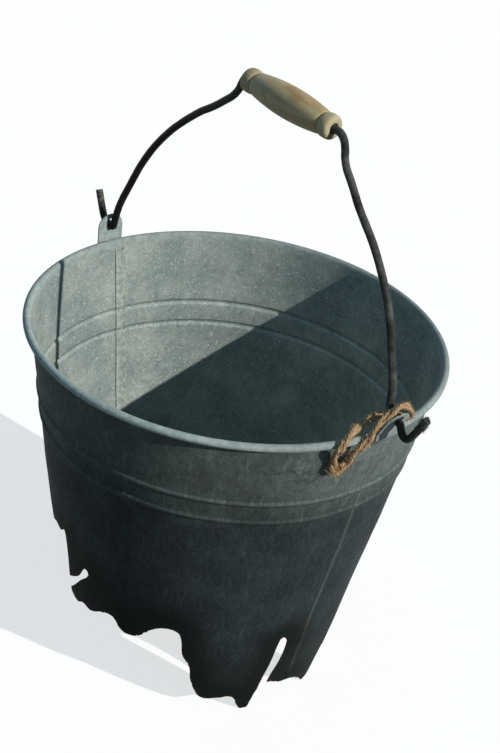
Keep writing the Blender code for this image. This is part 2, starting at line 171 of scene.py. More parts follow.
# %% Shader board
class Board:
    """Adds and links nodes in one tree."""

    def __init__(self, owner):
        owner.use_nodes = True
        self.tree = owner.node_tree
        self.tree.nodes.clear()

    def add(self, kind):
        return self.tree.nodes.new(kind)

    def put(self, socket, value):
        if isinstance(value, bpy.types.NodeSocket):
            self.tree.links.new(value, socket)
        elif isinstance(value, tuple) and len(value) == 3 and socket.type == "RGBA":
            socket.default_value = (*value, 1)
        else:
            socket.default_value = value

    def node(self, kind, links=None, output=0, **settings):
        """A node with its settings, and its inputs set or linked. Returns one output, or the node."""
        node = self.add(kind)
        for key, value in settings.items():
            setattr(node, key, value)
        for key, value in (links or {}).items():
            self.put(node.inputs[key], value)
        return node.outputs[output] if output is not None else node

    def sum(self, operation, first, second=0.0, clamp=False):
        return self.node("ShaderNodeMath", {0: first, 1: second}, operation=operation, use_clamp=clamp)

    def times(self, first, second, clamp=False):
        return self.sum("MULTIPLY", first, second, clamp)

    def plus(self, first, second):
        return self.sum("ADD", first, second)

    def minus(self, first, second):
        return self.sum("SUBTRACT", first, second)

    def swing(self, value, reach):
        """A value around one half, as a swing around zero with this reach."""
        return self.times(self.minus(value, 0.5), reach)

    def mix(self, share, first, second, kind="MIX"):
        links = {"Factor": share, "A": first, "B": second}
        return self.node("ShaderNodeMix", links, "Result", data_type="RGBA", blend_type=kind)

    def seen_directly(self):
        """1 for rays from the camera, a mirror or a clear body, else 0."""
        rays = self.add("ShaderNodeLightPath").outputs
        first = self.sum("MAXIMUM", rays["Is Camera Ray"], rays["Is Glossy Ray"])
        return self.sum("MAXIMUM", first, rays["Is Transmission Ray"])


class Finish(Board):
    """A material with one Principled shader and helpers that return sockets."""

    def __init__(self, name, gloss):
        self.material = bpy.data.materials.new(name)
        super().__init__(self.material)
        self.shader = self.add("ShaderNodeBsdfPrincipled")
        self.shader.inputs["Specular IOR Level"].default_value = gloss
        self.node("ShaderNodeOutputMaterial", {"Surface": self.shader.outputs[0]}, None)
        coordinates = self.add("ShaderNodeTexCoord").outputs
        self.place = coordinates["Object"]
        self.normal = coordinates["Normal"]

    def scaled(self, factors, vector=None):
        return self.vector_sum("MULTIPLY", self.place if vector is None else vector, factors)

    def brighter(self, share, colour, factors):
        """The colour, scaled by the factors where the share says so."""
        return self.mix(share, colour, self.scaled(factors, colour))

    def uneven(self, colour, value):
        return self.mix(1.0, colour, self.join(value, value, value), "MULTIPLY")

    def noise(self, scale, detail=3.0, rough=0.55, vector=None, twist=0.0):
        return self.node("ShaderNodeTexNoise", {
            "Vector": self.place if vector is None else vector,
            "Scale": scale, "Detail": detail, "Roughness": rough, "Distortion": twist,
        }, "Fac")

    def cell_colour(self, scale):
        return self.node("ShaderNodeTexVoronoi", {"Vector": self.place, "Scale": scale}, "Color")

    def span(self, value, low, high, to_low=0.0, to_high=1.0):
        """value from low..high onto to_low..to_high, with smooth ends."""
        return self.node("ShaderNodeMapRange", {
            "Value": value, "From Min": low, "From Max": high, "To Min": to_low, "To Max": to_high,
        }, "Result", interpolation_type="SMOOTHSTEP")

    def near(self, value, middle, inner, outer, share=1.0):
        """The share within `inner` of the middle, fading to 0 at `outer`."""
        return self.span(self.sum("ABSOLUTE", self.minus(value, middle)), inner, outer, share, 0.0)

    def laid(self, colour, layers):
        """Tones laid over the colour, each where its value goes from low..high onto two shares."""
        for value, low, high, at_low, at_high, tone in layers:
            colour = self.mix(self.span(value, low, high, at_low, at_high), colour, tone)
        return colour

    def split(self, vector=None):
        links = {0: self.place if vector is None else vector}
        return self.node("ShaderNodeSeparateXYZ", links, None).outputs

    def join(self, x, y, z):
        return self.node("ShaderNodeCombineXYZ", {0: x, 1: y, 2: z})

    def vector_sum(self, operation, first, second):
        return self.node("ShaderNodeVectorMath", {0: first, 1: second}, operation=operation)

    def scale_by(self, vector, factor):
        return self.node("ShaderNodeVectorMath", {0: vector, "Scale": factor}, operation="SCALE")

    def length(self, vector):
        return self.node("ShaderNodeVectorMath", {0: vector}, "Value", operation="LENGTH")

    def dot(self, first, second):
        return self.node("ShaderNodeVectorMath", {0: first, 1: second}, "Value", operation="DOT_PRODUCT")

    def attribute(self, name):
        return self.node("ShaderNodeAttribute", {}, "Fac", attribute_name=name)

    def bump(self, height, distance, strength):
        links = {"Strength": strength, "Distance": distance, "Height": height}
        self.put(self.shader.inputs["Normal"], self.node("ShaderNodeBump", links))

    def finish(self, colour, roughness):
        self.put(self.shader.inputs["Base Color"], colour)
        self.put(self.shader.inputs["Roughness"], roughness)
        return self.material


# %% [markdown]
# ## Jute twine
# A short length of jute twine is threaded through beside the right ear and hangs in a narrow loop over the
# rim. Real twine is two plies of loose fibre twisted round each other, with stray hairs and a thickness
# that keeps changing. A plain tube with a striped bump would look like a pipe, so each ply is a lobed
# tube swept along a helix by Geometry Nodes, and the hairs are tiny bent fibres set on its surface. The
# route's points are the CAD solid's own, because the twine lies where that solid lies.

# %% Twine route
TWINE_ROUTE = (
    (144.4, -37.0, -17.0), (144.8, -38.0, -12.5), (146.8, -39.6, -7.0), (150.6, -41.0, -1.6),
    (151.2, -39.4, 2.8), (149.2, -34.6, 5.3), (147.5, -29.6, 6.4), (145.4, -23.0, 7.2), (142.6, -13.0, 7.2),
    (140.7, -4.4, 7.4), (140.6, 3.5, 7.8), (142.4, 9.4, 7.8), (146.6, 13.4, 7.6), (151.2, 14.6, 7.6),
    (154.8, 15.0, 8.8), (156.8, 14.8, 12.0), (157.8, 13.4, 16.4), (158.4, 10.2, 20.8), (158.6, 5.0, 24.0),
    (158.4, -1.0, 24.2), (157.8, -6.4, 20.8), (156.3, -11.7, 16.0), (155.4, -15.0, 10.8),
    (154.8, -17.0, 6.6), (155.2, -19.8, 3.0), (154.0, -23.6, -2.0), (151.0, -25.2, -7.0),
    (148.4, -25.8, -12.0), (146.8, -27.0, -17.2), (145.6, -30.2, -20.8),
)


def above_rim(route):
    return [(x * MM, y * MM, RIM_HEIGHT + z * MM) for x, y, z in route]


def line_length(line):
    return sum((b - a).length for a, b in zip(line, line[1:]))


def open_curve(name, line):
    """A curve of one open spline through the points."""
    curve = bpy.data.curves.new(name, "CURVE")
    curve.dimensions = "3D"
    spline = curve.splines.new("POLY")
    spline.points.add(len(line) - 1)
    for point, place in zip(spline.points, line):
        point.co = (*place, 1)
    return add_object(name, curve)


twine_line = smooth_line(above_rim(TWINE_ROUTE), 6)


# %% Node group helper
class Recipe(Board):
    """A Geometry Nodes tree with named inputs, run once on an object."""

    def __init__(self, name, inputs):
        self.tree = bpy.data.node_groups.new(name, "GeometryNodeTree")
        self.values = {}
        self.open("Geometry", "INPUT", "NodeSocketGeometry")
        for label, value in inputs.items():
            kind = "NodeSocketMaterial" if isinstance(value, bpy.types.Material) else "NodeSocketFloat"
            self.values[self.open(label, "INPUT", kind)] = value
        self.open("Geometry", "OUTPUT", "NodeSocketGeometry")
        self.given = self.add("NodeGroupInput").outputs
        self.result = self.add("NodeGroupOutput").inputs[0]

    def open(self, label, way, kind):
        return self.tree.interface.new_socket(label, in_out=way, socket_type=kind).identifier

    def vector(self, operation, first, second):
        links = {0: first, ("Scale" if operation == "SCALE" else 1): second}
        return self.node("ShaderNodeVectorMath", links, operation=operation)

    def close(self, geometry):
        real = self.node("GeometryNodeRealizeInstances", {0: geometry})
        links = {"Geometry": real, "Material": self.given["Material"]}
        self.put(self.result, self.node("GeometryNodeSetMaterial", links))

    def run(self, obj, name, material):
        modifier = obj.modifiers.new("recipe", "NODES")
        modifier.node_group = self.tree
        for identifier, value in self.values.items():
            modifier[identifier] = value
        return plain_mesh(obj, name, material)


# %% Jute finish
FIBRE_SHADOW_SPAN = (-44 * MM, -40.5 * MM)


def jute_finish():
    board = Finish("jute_twine", 0.1)
    streaks = board.noise(1.0, 4, 0.7, vector=board.join(
        board.times(board.attribute("ply_round"), 9.0),
        board.times(board.attribute("ply_along"), 260.0),
        0.0,
    ))
    colour = board.laid((0.29, 0.17, 0.08), (
        (streaks, 0.36, 0.60, 0, 1, (0.62, 0.43, 0.25)),
        (streaks, 0.56, 0.72, 0, 1, (0.86, 0.71, 0.47)),
        (board.noise(210, 2, 0.5), 0.50, 0.70, 0, 0.45, (0.50, 0.25, 0.11)),
    ))
    board.bump(streaks, 0.0005, 0.8)
    return board.finish(colour, 0.85)


def hair_finish():
    board = Finish("jute_hairs", 0.1)
    colour = board.laid((0.40, 0.24, 0.11), (
        (board.noise(160, 2, 0.5), 0.40, 0.62, 0, 1, (0.86, 0.68, 0.42)),
        # Painted shadow: the fibres lying out along the wall are near black, standing in for their shadows.
        (board.split()[1], *FIBRE_SHADOW_SPAN, 1, 0, (0.012, 0.010, 0.008)),
    ))
    return board.finish(colour, 0.8)


jute = jute_finish()
hair = hair_finish()

# %% Plies
PLY_RADIUS = 1.45 * MM
PLY_OFFSET = 1.2 * MM
LAY_LENGTH = 26 * MM
LOBES = 5
LOBE_DEPTH = 0.12
FIBRE_TWIST = -1.6
LINE_POINTS = 420


def ply_recipe():
    """Two lobed and lumpy plies twisted round a curve."""
    recipe = Recipe("twisted plies", {
        "Ply radius": PLY_RADIUS, "Ply offset": PLY_OFFSET, "Lay": LAY_LENGTH, "Lobe": LOBE_DEPTH,
        "Material": jute,
    })
    given = recipe.given
    line = recipe.node("GeometryNodeResampleCurve", {"Curve": given["Geometry"], "Count": LINE_POINTS})
    length = recipe.node("GeometryNodeSplineParameter", output="Length")
    turns = recipe.sum("DIVIDE", length, given["Lay"])
    tangent = recipe.node("GeometryNodeInputTangent")
    normal = recipe.node("GeometryNodeInputNormal")
    side = recipe.vector("CROSS_PRODUCT", tangent, normal)
    lumps = recipe.node("ShaderNodeTexNoise", {"Scale": 150.0, "Detail": 1.0}, "Fac")
    swell = recipe.plus(0.62, recipe.times(lumps, 0.76))

    links = {"Resolution": 20, "Radius": given["Ply radius"]}
    circle = recipe.node("GeometryNodeCurvePrimitiveCircle", links)
    share = recipe.node("GeometryNodeSplineParameter", output="Factor")
    lobes = recipe.sum("COSINE", recipe.times(share, LOBES * math.tau))
    place = recipe.node("GeometryNodeInputPosition")
    grown = recipe.vector("SCALE", place, recipe.times(lobes, given["Lobe"]))
    profile = recipe.node("GeometryNodeSetPosition", {"Geometry": circle, "Offset": grown})
    links = {"Geometry": profile, "Name": "ply_round", "Value": share}
    profile = recipe.node("GeometryNodeStoreNamedAttribute", links)

    join = recipe.node("GeometryNodeJoinGeometry", output=None)
    for phase in (0.0, math.pi):
        angle = recipe.plus(recipe.times(turns, math.tau), phase)
        away = recipe.vector("ADD",
            recipe.vector("SCALE", normal, recipe.sum("COSINE", angle)),
            recipe.vector("SCALE", side, recipe.sum("SINE", angle)))
        ply = recipe.node("GeometryNodeStoreNamedAttribute", {
            "Geometry": line, "Name": "ply_along", "Value": recipe.plus(length, phase),
        })
        ply = recipe.node("GeometryNodeSetCurveTilt", {
            "Curve": ply, "Tilt": recipe.times(turns, FIBRE_TWIST * math.tau),
        })
        ply = recipe.node("GeometryNodeSetPosition", {
            "Geometry": ply, "Offset": recipe.vector("SCALE", away, given["Ply offset"]),
        })
        tube = recipe.node("GeometryNodeCurveToMesh", {
            "Curve": ply, "Profile Curve": profile, "Scale": swell, "Fill Caps": True,
        })
        recipe.put(join.inputs[0], tube)
    recipe.close(join.outputs[0])
    return recipe


plies = ply_recipe()
twine = plies.run(open_curve("twine_route", twine_line), "jute_twine", jute)
smooth_by_angle(twine.data, 180)
count(twine)


# %% Hairs
HAIR_THICKNESS = 0.075 * MM
HAIR_COATS = {
    "twine": (4.2e5, 2.2 * MM), "splice": (2.6e5, 2.8 * MM), "tuft": (9.0e5, 4.6 * MM),
    "lint": (1.6e6, 1.9 * MM),
}


def hair_recipe(coat):
    """Bent fibres scattered over a mesh, most of them lying along it. A coat is how many stand on a
    square metre, and how far the longest reach."""
    density, reach = HAIR_COATS[coat]
    recipe = Recipe("stray hairs", {
        "Density": density, "Reach": reach, "Thickness": HAIR_THICKNESS, "Material": hair,
    })
    given = recipe.given
    spots = recipe.node("GeometryNodeDistributePointsOnFaces", {
        "Mesh": given["Geometry"], "Density": given["Density"], "Seed": 7,
    }, None).outputs
    fibre = recipe.node("GeometryNodeCurveQuadraticBezier", {
        "Resolution": 5, "Start": (0, 0, -0.08), "Middle": (0.15, 0.1, 0.75), "End": (0.95, -0.1, 0.80),
    })
    section = recipe.node("GeometryNodeCurvePrimitiveCircle", {"Resolution": 3, "Radius": 1.0})
    size = recipe.node("FunctionNodeRandomValue", {2: 0.25, 3: 1.0, "Seed": 3}, 1, data_type="FLOAT")
    long = recipe.times(size, given["Reach"])
    thin = recipe.sum("DIVIDE", given["Thickness"], given["Reach"])
    strand = recipe.node("GeometryNodeCurveToMesh", {
        "Curve": fibre, "Profile Curve": section, "Scale": thin, "Fill Caps": True,
    })
    lean = recipe.node("FunctionNodeRandomValue", {
        0: (-0.7, -0.7, -math.pi), 1: (0.7, 0.7, math.pi), "Seed": 5,
    }, data_type="FLOAT_VECTOR")
    turned = recipe.node("FunctionNodeRotateRotation", {
        "Rotation": spots["Rotation"],
        "Rotate By": recipe.node("FunctionNodeEulerToRotation", {0: lean}),
    }, rotation_space="LOCAL")
    grown = recipe.node("GeometryNodeInstanceOnPoints", {
        "Points": spots[0], "Instance": strand, "Rotation": turned, "Scale": long,
    })
    recipe.close(grown)
    return recipe


def copy_of(obj, name):
    return add_object(name, obj.data.copy())


twine_hairs = hair_recipe("twine").run(copy_of(twine, "hair_bed"), "twine_hairs", hair)
count(twine_hairs)

# %% [markdown]
# The two ends meet low on the outside, where they are spliced into a tight bend with a small frayed tuft,
# and a few single fibres have worked loose along the wall, painted near black there as painted shadow. The
# splice is one more run of the plies, and the tuft grows from its lowest part.

# %% Splice and tuft
SPLICE_ROUTE = (
    (146.0, -29.2, -19.8), (145.4, -31.6, -22.0), (145.0, -34.6, -22.6), (144.5, -36.8, -20.4),
    (144.4, -37.3, -16.0),
)
TUFT_ROUTE = ((145.2, -33.4, -22.5), (144.8, -35.4, -22.0), (144.5, -36.8, -20.4))
THREADS = (
    ((143.4, -39.0, -24.0), (142.0, -44.0, -20.0), (140.2, -52.0, -22.5), (136.5, -60.0, -18.5),
     (131.0, -71.0, -21.0), (127.0, -78.0, -17.0)),
    ((143.2, -38.0, -25.0), (140.8, -43.0, -30.5), (141.0, -47.0, -27.0), (138.0, -51.0, -31.5),
     (137.6, -55.0, -27.0), (133.6, -61.0, -30.0)),
)
THREAD_RADIUS = 0.16 * MM


def thread(index, route):
    """One loose fibre, as a thin round mesh."""
    obj = open_curve(f"loose_fibre_{index}", smooth_line(above_rim(route), 10))
    obj.data.bevel_depth = THREAD_RADIUS
    obj.data.bevel_resolution = 0
    obj.data.use_fill_caps = True
    return plain_mesh(obj, f"loose_fibre_{index}", hair)


def joined(parts, name):
    """Several meshes as one."""
    bm = bmesh.new()
    for part in parts:
        bm.from_mesh(part.data)
    material = parts[0].data.materials[0]
    for part in parts:
        bpy.data.objects.remove(part)
    return built(name, bm, material, outward=False)


splice = plies.run(open_curve("splice_route", smooth_line(above_rim(SPLICE_ROUTE), 8)), "splice", jute)
splice_hairs = hair_recipe("splice").run(copy_of(splice, "splice_bed"), "splice_hairs", hair)
tuft_bed = plies.run(open_curve("tuft_route", smooth_line(above_rim(TUFT_ROUTE), 8)), "tuft_bed", jute)
tuft = hair_recipe("tuft").run(tuft_bed, "tuft", hair)
knot = joined([splice], "twine_knot")
smooth_by_angle(knot.data, 180)
threads = [thread(index, route) for index, route in enumerate(THREADS)]
twine_tuft = joined([tuft, splice_hairs] + threads, "twine_tuft")
count(knot)
count(twine_tuft)

for piece in (twine, twine_hairs, knot, twine_tuft):
    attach(piece, "bucket")
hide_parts("twine_loop")

# %% [markdown]
# ## Floor and light
# A pale floor, a low warm sun from the right and a weak blue sky. The sun stands where its shadow edge
# inside the bucket asks for. The floor answers the camera with a pale tone and the bucket with a dark
# one, so that no light is thrown up under the rim.

# %% Floor
FLOOR_HALF = 6.0
FLOOR_TONES = (0.22, 0.22, 0.22), (0.55, 0.55, 0.55)
FLOOR_GLOW = 0.68

floor_mesh = bpy.data.meshes.new("floor")
corners = [(x * FLOOR_HALF, y * FLOOR_HALF, 0) for x, y in ((-1, -1), (1, -1), (1, 1), (-1, 1))]
floor_mesh.from_pydata(corners, [], [(0, 1, 2, 3)])
floor_material = bpy.data.materials.new("pale_floor")
board = Board(floor_material)
direct = board.seen_directly()
lit = board.node("ShaderNodeBsdfDiffuse", {"Color": board.mix(direct, *FLOOR_TONES)})
glow = board.node("ShaderNodeEmission", {"Color": (1, 1, 1), "Strength": board.times(direct, FLOOR_GLOW)})
both = board.node("ShaderNodeAddShader", {0: lit, 1: glow})
board.node("ShaderNodeOutputMaterial", {"Surface": both}, None)
floor = add_object("floor", floor_mesh, floor_material)

# %% Lights
SUN_AZIMUTH = math.radians(16.4)
SUN_HEIGHT = math.radians(28.2)
SUN_STRENGTH = 3.0
SUN_WIDTH = math.radians(0.6)
SKY = (0.46, 0.78, 1.0)
SKY_STRENGTH = 0.20

world = bpy.data.worlds.new("studio")
bpy.context.scene.world = world
board = Board(world)
sky = board.node("ShaderNodeBackground", {"Color": SKY, "Strength": SKY_STRENGTH})
plain = board.node("ShaderNodeBackground", {"Color": (1, 1, 1), "Strength": 1.0})
shown = board.node("ShaderNodeMixShader", {"Fac": board.seen_directly(), 1: sky, 2: plain})
board.node("ShaderNodeOutputWorld", {"Surface": shown}, None)

sun_data = bpy.data.lights.new("sun", "SUN")
sun_data.energy = SUN_STRENGTH
sun_data.angle = SUN_WIDTH
sun_data.color = (1.0, 0.97, 0.90)
sun = bpy.data.objects.new("sun", sun_data)
bpy.context.scene.collection.objects.link(sun)
toward_sun = Vector((
    math.cos(SUN_HEIGHT) * math.cos(SUN_AZIMUTH),
    math.cos(SUN_HEIGHT) * math.sin(SUN_AZIMUTH),
    math.sin(SUN_HEIGHT),
))
sun.rotation_euler = toward_sun.to_track_quat("Z", "Y").to_euler()
bpy.context.scene.view_settings.view_transform = "Standard"

# %% [markdown]
# ## Weathered zinc
# Hot-dip zinc grows grey-green and matt, in soft blotches over the old crystal pattern, with pale chalky
# specks. The outside is darker than the inside, rubbed with fine scratches, and darker towards the bottom.
# Painted shade makes it nearly black beside the torn edge and low on the side away from the sun. Painted
# light falls on its sun side, painted lines of shade and highlight run beside the beads, and painted
# highlights lie on the rim and on the edges of the inside seams. A per-point attribute tells how near the
# tear is, and the surface's own direction tells the outside from the inside.

# %% Zinc
UNROLL_RADIUS = 0.13
OUTSIDE_BELOW = (RIM_HEIGHT - 7 * MM, RIM_HEIGHT - 4 * MM)
RIM_TOP_WEAR_AND_HIGHLIGHT = (RIM_HEIGHT - 5.5 * MM, RIM_HEIGHT + 1 * MM)
RIM_FRONT_HIGHLIGHT = (-60 * MM, -120 * MM)
BAND_FADE = (172 * MM, 238 * MM)
FOOT_FADE = (10 * MM, 130 * MM)
SUN_SIDE = (-0.55, 0.05)
SUN_SIDE_HEIGHTS = (175 * MM, 225 * MM)
SHADE_SIDE = (-1.15, -0.65)
SHADE_HEIGHTS = (70 * MM, 150 * MM)
SPECKS = (0.625, 0.675)
SCRATCHES = ((0.5, 1.0, 0.0, 0.55), (-0.9, 0.8, 3.7, 1.5), (1.3, 1.1, 8.1, 1.5))
SCRATCH_ACROSS = 620
SCRATCH_ALONG = 26


def zinc_layers(board):
    """The noises that the inside, the outside and the rim share."""
    return {
        "blotches": board.noise(26, 5, 0.6),
        "patches": board.noise(9, 3, 0.5),
        "mottle": board.noise(230, 4, 0.65),
        "fine": board.noise(760, 3, 0.7),
        "specks": board.noise(560, 2, 0.6),
    }


def inner_tone(board, layers):
    """The inside: grey-green with grains, dark pits and pale specks."""
    grains = board.sum("FRACT", board.times(board.split(board.cell_colour(150))[0], 7.0))
    tone = board.plus(0.78, board.times(layers["blotches"], 0.20))
    tone = board.plus(tone, board.times(layers["patches"], 0.14))
    for layer, reach in ((grains, 0.10), (layers["mottle"], 0.62), (layers["fine"], 0.85)):
        tone = board.plus(tone, board.swing(layer, reach))
    broad = board.span(layers["blotches"], 0.35, 0.68)
    inner = board.mix(broad, (0.262, 0.318, 0.312), (0.372, 0.415, 0.390))
    inner = board.uneven(inner, tone)
    return board.laid(inner, (
        (board.noise(480, 3, 0.7, twist=0.5), 0.61, 0.67, 0, 0.50, (0.150, 0.185, 0.180)),
        (layers["specks"], *SPECKS, 0, 0.65, (0.66, 0.71, 0.68)),
        (board.noise(190, 5, 0.8), 0.60, 0.66, 0, 0.45, (0.56, 0.60, 0.57)),
    ))


def outer_tone(board, layers, turn, flat, z):
    """The outside: dark, greener near the rim, bluish lower down, nearly black at the foot, with painted
    light on the sun side and painted shade low on the side away from it.
    """
    drop = board.plus(z, board.swing(layers["patches"], 0.09))
    outer = board.laid((0.033, 0.043, 0.047), (
        (drop, *BAND_FADE, 0, 1, (0.100, 0.121, 0.115)),
        (drop, *FOOT_FADE, 1, 0, (0.014, 0.019, 0.020)),
    ))
    outer = board.uneven(outer, board.plus(0.30, board.times(board.noise(34, 6, 0.62), 1.35)))
    hide = board.noise(1.0, 5, 0.75, vector=board.scaled((330, 170, 0), flat), twist=0.8)
    outer = board.uneven(outer, board.span(hide, 0.30, 0.70, 0.72, 1.26))
    rub = board.noise(1.0, 5, 0.7, vector=board.scaled((260, 55, 0), flat), twist=0.6)
    outer = board.brighter(board.span(rub, 0.50, 0.66, 0.0, 0.50), outer, (1.75, 1.72, 1.66))
    outer = board.laid(outer, ((layers["specks"], *SPECKS, 0, 0.12, (0.26, 0.30, 0.29)),))
    # Painted light: the upper outside is lighter on its side toward the sun.
    painted_sun_light = board.times(board.span(turn, *SUN_SIDE), board.span(z, *SUN_SIDE_HEIGHTS))
    outer = board.brighter(painted_sun_light, outer, (1.40, 1.42, 1.42))
    # Painted shade: nearly black low down on the side that is turned away from the sun.
    away_side_shade = board.times(board.span(turn, *SHADE_SIDE, 1.0, 0.0), board.span(drop, *SHADE_HEIGHTS, 1.0, 0.0))
    return board.mix(board.times(away_side_shade, 0.85), outer, (0.006, 0.008, 0.009))


def with_beads(board, colour, outside, z):
    """Painted shade as a sharp dark line and a painted highlight as a light line beside each bead, the other
    way round inside.
    """
    for drop in BEAD_DROPS:
        off_bead = board.times(board.minus(z, RIM_HEIGHT - drop), board.span(outside, 0.4, 0.6, 1.0, -1.0))
        # Painted shade: a dark line on the side of each bead that is turned from the light.
        bead_shade = board.near(off_bead, 2.1 * MM, 0.0, 1.1 * MM, 0.55)
        colour = board.brighter(bead_shade, colour, (0.42, 0.44, 0.46))
        # Painted highlight: a light line on the lit side of each bead.
        bead_highlight = board.near(off_bead, -1.3 * MM, 0.2 * MM, 1.4 * MM, 0.55)
        colour = board.brighter(bead_highlight, colour, (1.5, 1.5, 1.5))
    return colour


def with_scratches(board, colour, along, z):
    """Fine scratches, each a thin band of a stretched noise laid at its own slant."""
    for slant, pull, seed, lift in SCRATCHES:
        across_way = SCRATCH_ACROSS * math.cos(slant), SCRATCH_ACROSS * math.sin(slant)
        along_way = SCRATCH_ALONG * pull * math.cos(slant), -SCRATCH_ALONG * pull * math.sin(slant)
        turned = board.join(
            board.plus(board.times(along, across_way[0]), board.times(z, across_way[1])),
            board.plus(board.times(z, along_way[0]), board.times(along, along_way[1])),
            seed,
        )
        scratch = board.near(board.noise(1.0, 2, 0.5, vector=turned), 0.5, 0.0, 0.016)
        where = board.span(board.noise(22, 2, 0.5, vector=board.scaled((1, 1, 1.0 + seed))), 0.52, 0.64)
        share = board.times(board.times(scratch, where), 0.7)
        colour = board.brighter(share, colour, (lift, lift, lift))
    return colour


def with_seams(board, colour, outside):
    """Coarse pale seams inside, with painted light on the shaded edge of the fold, and one thin light line
    outside.
    """
    coarse = board.span(board.noise(300, 3, 0.7), 0.40, 0.62)
    seam_tone = board.mix(coarse, (0.205, 0.240, 0.212), (0.43, 0.47, 0.42))
    share = board.times(board.attribute("seam_near"), board.minus(1.0, outside))
    colour = board.mix(board.times(share, 0.7), colour, seam_tone)
    # Painted light on the lapped fold's edge, whose step lies in shade.
    colour = board.mix(board.attribute("seam_edge_light"), colour, (0.90, 0.95, 0.92))
    ridge = board.times(board.attribute("seam_line"), outside)
    return board.mix(board.times(ridge, 0.55), colour, (0.190, 0.220, 0.210))


def with_tear(board, colour, blotches):
    """Painted shade, nearly black, beside the tear, with a trace of rust on its edge."""
    torn = board.attribute("torn_near")
    unevenly = board.plus(0.55, board.times(blotches, 0.8))
    # Painted shade: the wall beside the tear is darkened to nearly black.
    torn_edge_shade = board.times(board.span(torn, 0.10, 0.62), unevenly, True)
    colour = board.mix(torn_edge_shade, colour, (0.008, 0.011, 0.011))
    rust = board.mix(board.noise(240, 4, 0.6), (0.030, 0.016, 0.009), (0.120, 0.052, 0.022))
    share = board.times(board.span(torn, 0.84, 0.97), board.span(board.noise(90, 3, 0.6), 0.44, 0.60))
    return board.mix(board.times(share, 0.35), colour, rust)


def zinc_finish():
    board = Finish("weathered_zinc", 0.03)
    x, y, z = board.split()
    nx, ny, _ = board.split(board.normal)
    turn = board.sum("ARCTAN2", y, x)
    along = board.times(turn, UNROLL_RADIUS)
    layers = zinc_layers(board)

    # Inside and outside, with the rolled rim and the pale ears counted as neither
    facing = board.plus(board.times(x, nx), board.times(y, ny))
    outside = board.times(board.span(facing, -0.01, 0.02), board.span(z, *OUTSIDE_BELOW, 1.0, 0.0))
    outside = board.times(outside, board.minus(1.0, board.attribute("pale")))
    outer = outer_tone(board, layers, turn, board.join(along, z, 0.0), z)
    colour = board.mix(outside, inner_tone(board, layers), outer)
    colour = with_beads(board, colour, outside, z)
    colour = with_scratches(board, colour, along, z)

    # The rim: lighter along its top, partly as rubbed zinc and partly as a painted highlight, which is
    # strongest at the front
    rim = board.mix(board.span(layers["mottle"], 0.35, 0.70), (0.29, 0.345, 0.345), (0.42, 0.475, 0.455))
    rim = board.brighter(board.span(y, *RIM_FRONT_HIGHLIGHT), rim, (1.36, 1.40, 1.40))
    colour = board.mix(board.times(board.span(z, *RIM_TOP_WEAR_AND_HIGHLIGHT), 0.85), colour, rim)
    colour = with_seams(board, colour, outside)
    colour = with_tear(board, colour, layers["blotches"])

    height = board.plus(board.times(layers["mottle"], 0.5), board.times(layers["fine"], 0.25))
    height = board.plus(height, board.times(layers["blotches"], 1.2))
    board.bump(height, 0.7 * MM, 0.55)
    return board.finish(colour, board.plus(0.50, board.times(layers["mottle"], 0.30)))


zinc = zinc_finish()
print("zinc finish nodes:", len(zinc.node_tree.nodes))

# %% [markdown]
# ## The two walls
# The shell is two half walls, rolled over a rim wire at the top and folded into each other down the
# sides. Each is drawn as a grid in mesh code, column by column round the bucket and row by row down the
# profile, then gets its thickness. The tear is cut with a ring whose top follows the ragged edge. A grid
# gives full control of the folds, and the cut keeps the sheet's thickness in view along the tear.

# %% Torn edge
TORN_EDGE = (
    (-168, 0), (-162, 0), (-158, 7), (-152, 26), (-146, 56), (-137, 84), (-125, 99), (-112.6, 113.8),
    (-106, 115), (-102.3, 120), (-101.6, 92), (-101.2, 66.5), (-97.1, 61.1), (-92, 65.5), (-87.4, 64.4),
    (-79.6, 73.3), (-75.3, 73.8), (-72.6, 66.8), (-69.4, 64.1), (-64.8, 67.1), (-59.8, 77.3),
    (-55.1, 83.4), (-50.3, 83.6), (-48.2, 76.3), (-47.1, 60.6), (-43.8, 47.7), (-42.7, 34.7),
    (-39.4, 19.7), (-36.2, 14.6), (-30, 14.8), (-24.1, 14.9), (-20.8, 4.5), (-18.6, 0), (-15.9, 0),
    (-14.9, 6.5), (-13.2, 19.2), (-9.5, 25), (-2.3, 19.9), (5.3, 16.8), (12, 9), (17.5, 0), (22, 0),
    (25, 12), (27.4, 24.6), (34, 20), (41, 31), (49, 17), (57, 9), (60, 0), (66, 0), (70, 14), (80, 22),
    (91, 12), (99, 0), (106, 0), (112, 17), (124, 27), (134, 15), (140, 0), (147, 0), (153, 12),
    (165, 19), (178, 11), (186, 8),
)
NOTCH = ((-24, 74), (-11.5, 79.6), (2.7, 90), (15, 103.5), (5.2, 87.9), (-13.8, 66.9), (-24, 62))
SLIT = (
    (-6.2, -6), (-6.0, 19.2), (-2.5, 46.5), (-0.2, 72.1), (2.6, 74), (6.6, 68), (5.6, 48.9), (1.0, 27.1),
    (0.6, -6),
)
NOTCH_AZIMUTH = math.radians(-95)
SLIT_AZIMUTH = math.radians(-10)
MEAN_RADIUS = 0.11
LEAST_TURN = math.radians(0.03)
SEAM_LINE = 3.4 * MM
SEAM_EDGE_LIGHT_SHARE = 0.34
SEAM_REACH = 0.043
SEAM_FADE = 0.006
TORN_REACH = 17 * MM
LEVEL = 0.1 * MM
TOOTH_DEPTH = 0.45 * MM
TOOTH_SCALE = 420


def wall_radius(height):
    """The middle of the sheet on the straight wall."""
    touch_radius = RIM_RADIUS - ROLL_RADIUS * math.cos(WALL_LEAN)
    touch_height = RIM_HEIGHT + ROLL_RADIUS * math.sin(WALL_LEAN)
    return touch_radius + math.tan(WALL_LEAN) * (height - touch_height)


